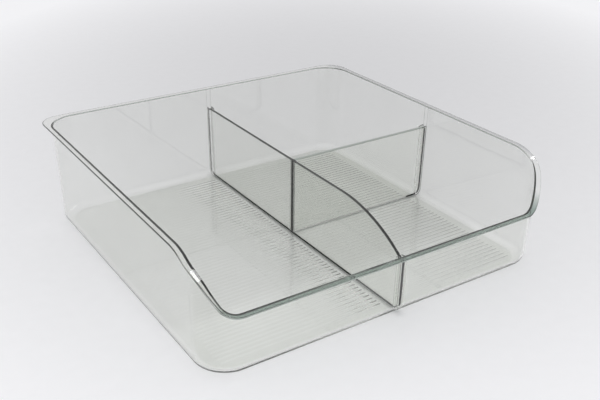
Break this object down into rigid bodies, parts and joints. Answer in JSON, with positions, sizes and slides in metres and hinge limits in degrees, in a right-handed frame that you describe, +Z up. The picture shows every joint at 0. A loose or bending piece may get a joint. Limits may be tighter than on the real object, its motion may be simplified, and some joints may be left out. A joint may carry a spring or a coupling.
{
  "type": "drawer organizer",
  "caption": "Clear moulded drawer organizer: a shallow open tray with a swept-down front rim, ribbed floor and divider plates that lift out of guide ribs.",
  "frame": {"origin": "middle of the tray's footprint, on the surface that it stands on", "axes": "+X to the right along the low front, +Y to the high back, +Z up"},
  "size_m": [0.3136, 0.3038, 0.0895],
  "materials": {
    "tray_plastic": "clear, glossy",
    "long_divider_plastic": "clear, glossy",
    "cross_divider_plastic": "clear, glossy"
  },
  "bodies": {
    "tray": {"tray": "tray_plastic"},
    "long_divider": {"long_divider": "long_divider_plastic"},
    "cross_divider": {"cross_divider": "cross_divider_plastic"}
  },
  "joints": [
    {"name": "long_divider_lift", "type": "slide", "parent": "tray", "child": "long_divider", "axis": [0, 0, 1], "range_m": [0, 0.09]},
    {"name": "cross_divider_lift", "type": "slide", "parent": "tray", "child": "cross_divider", "axis": [0, 0, 1], "range_m": [0, 0.09]}
  ]
}
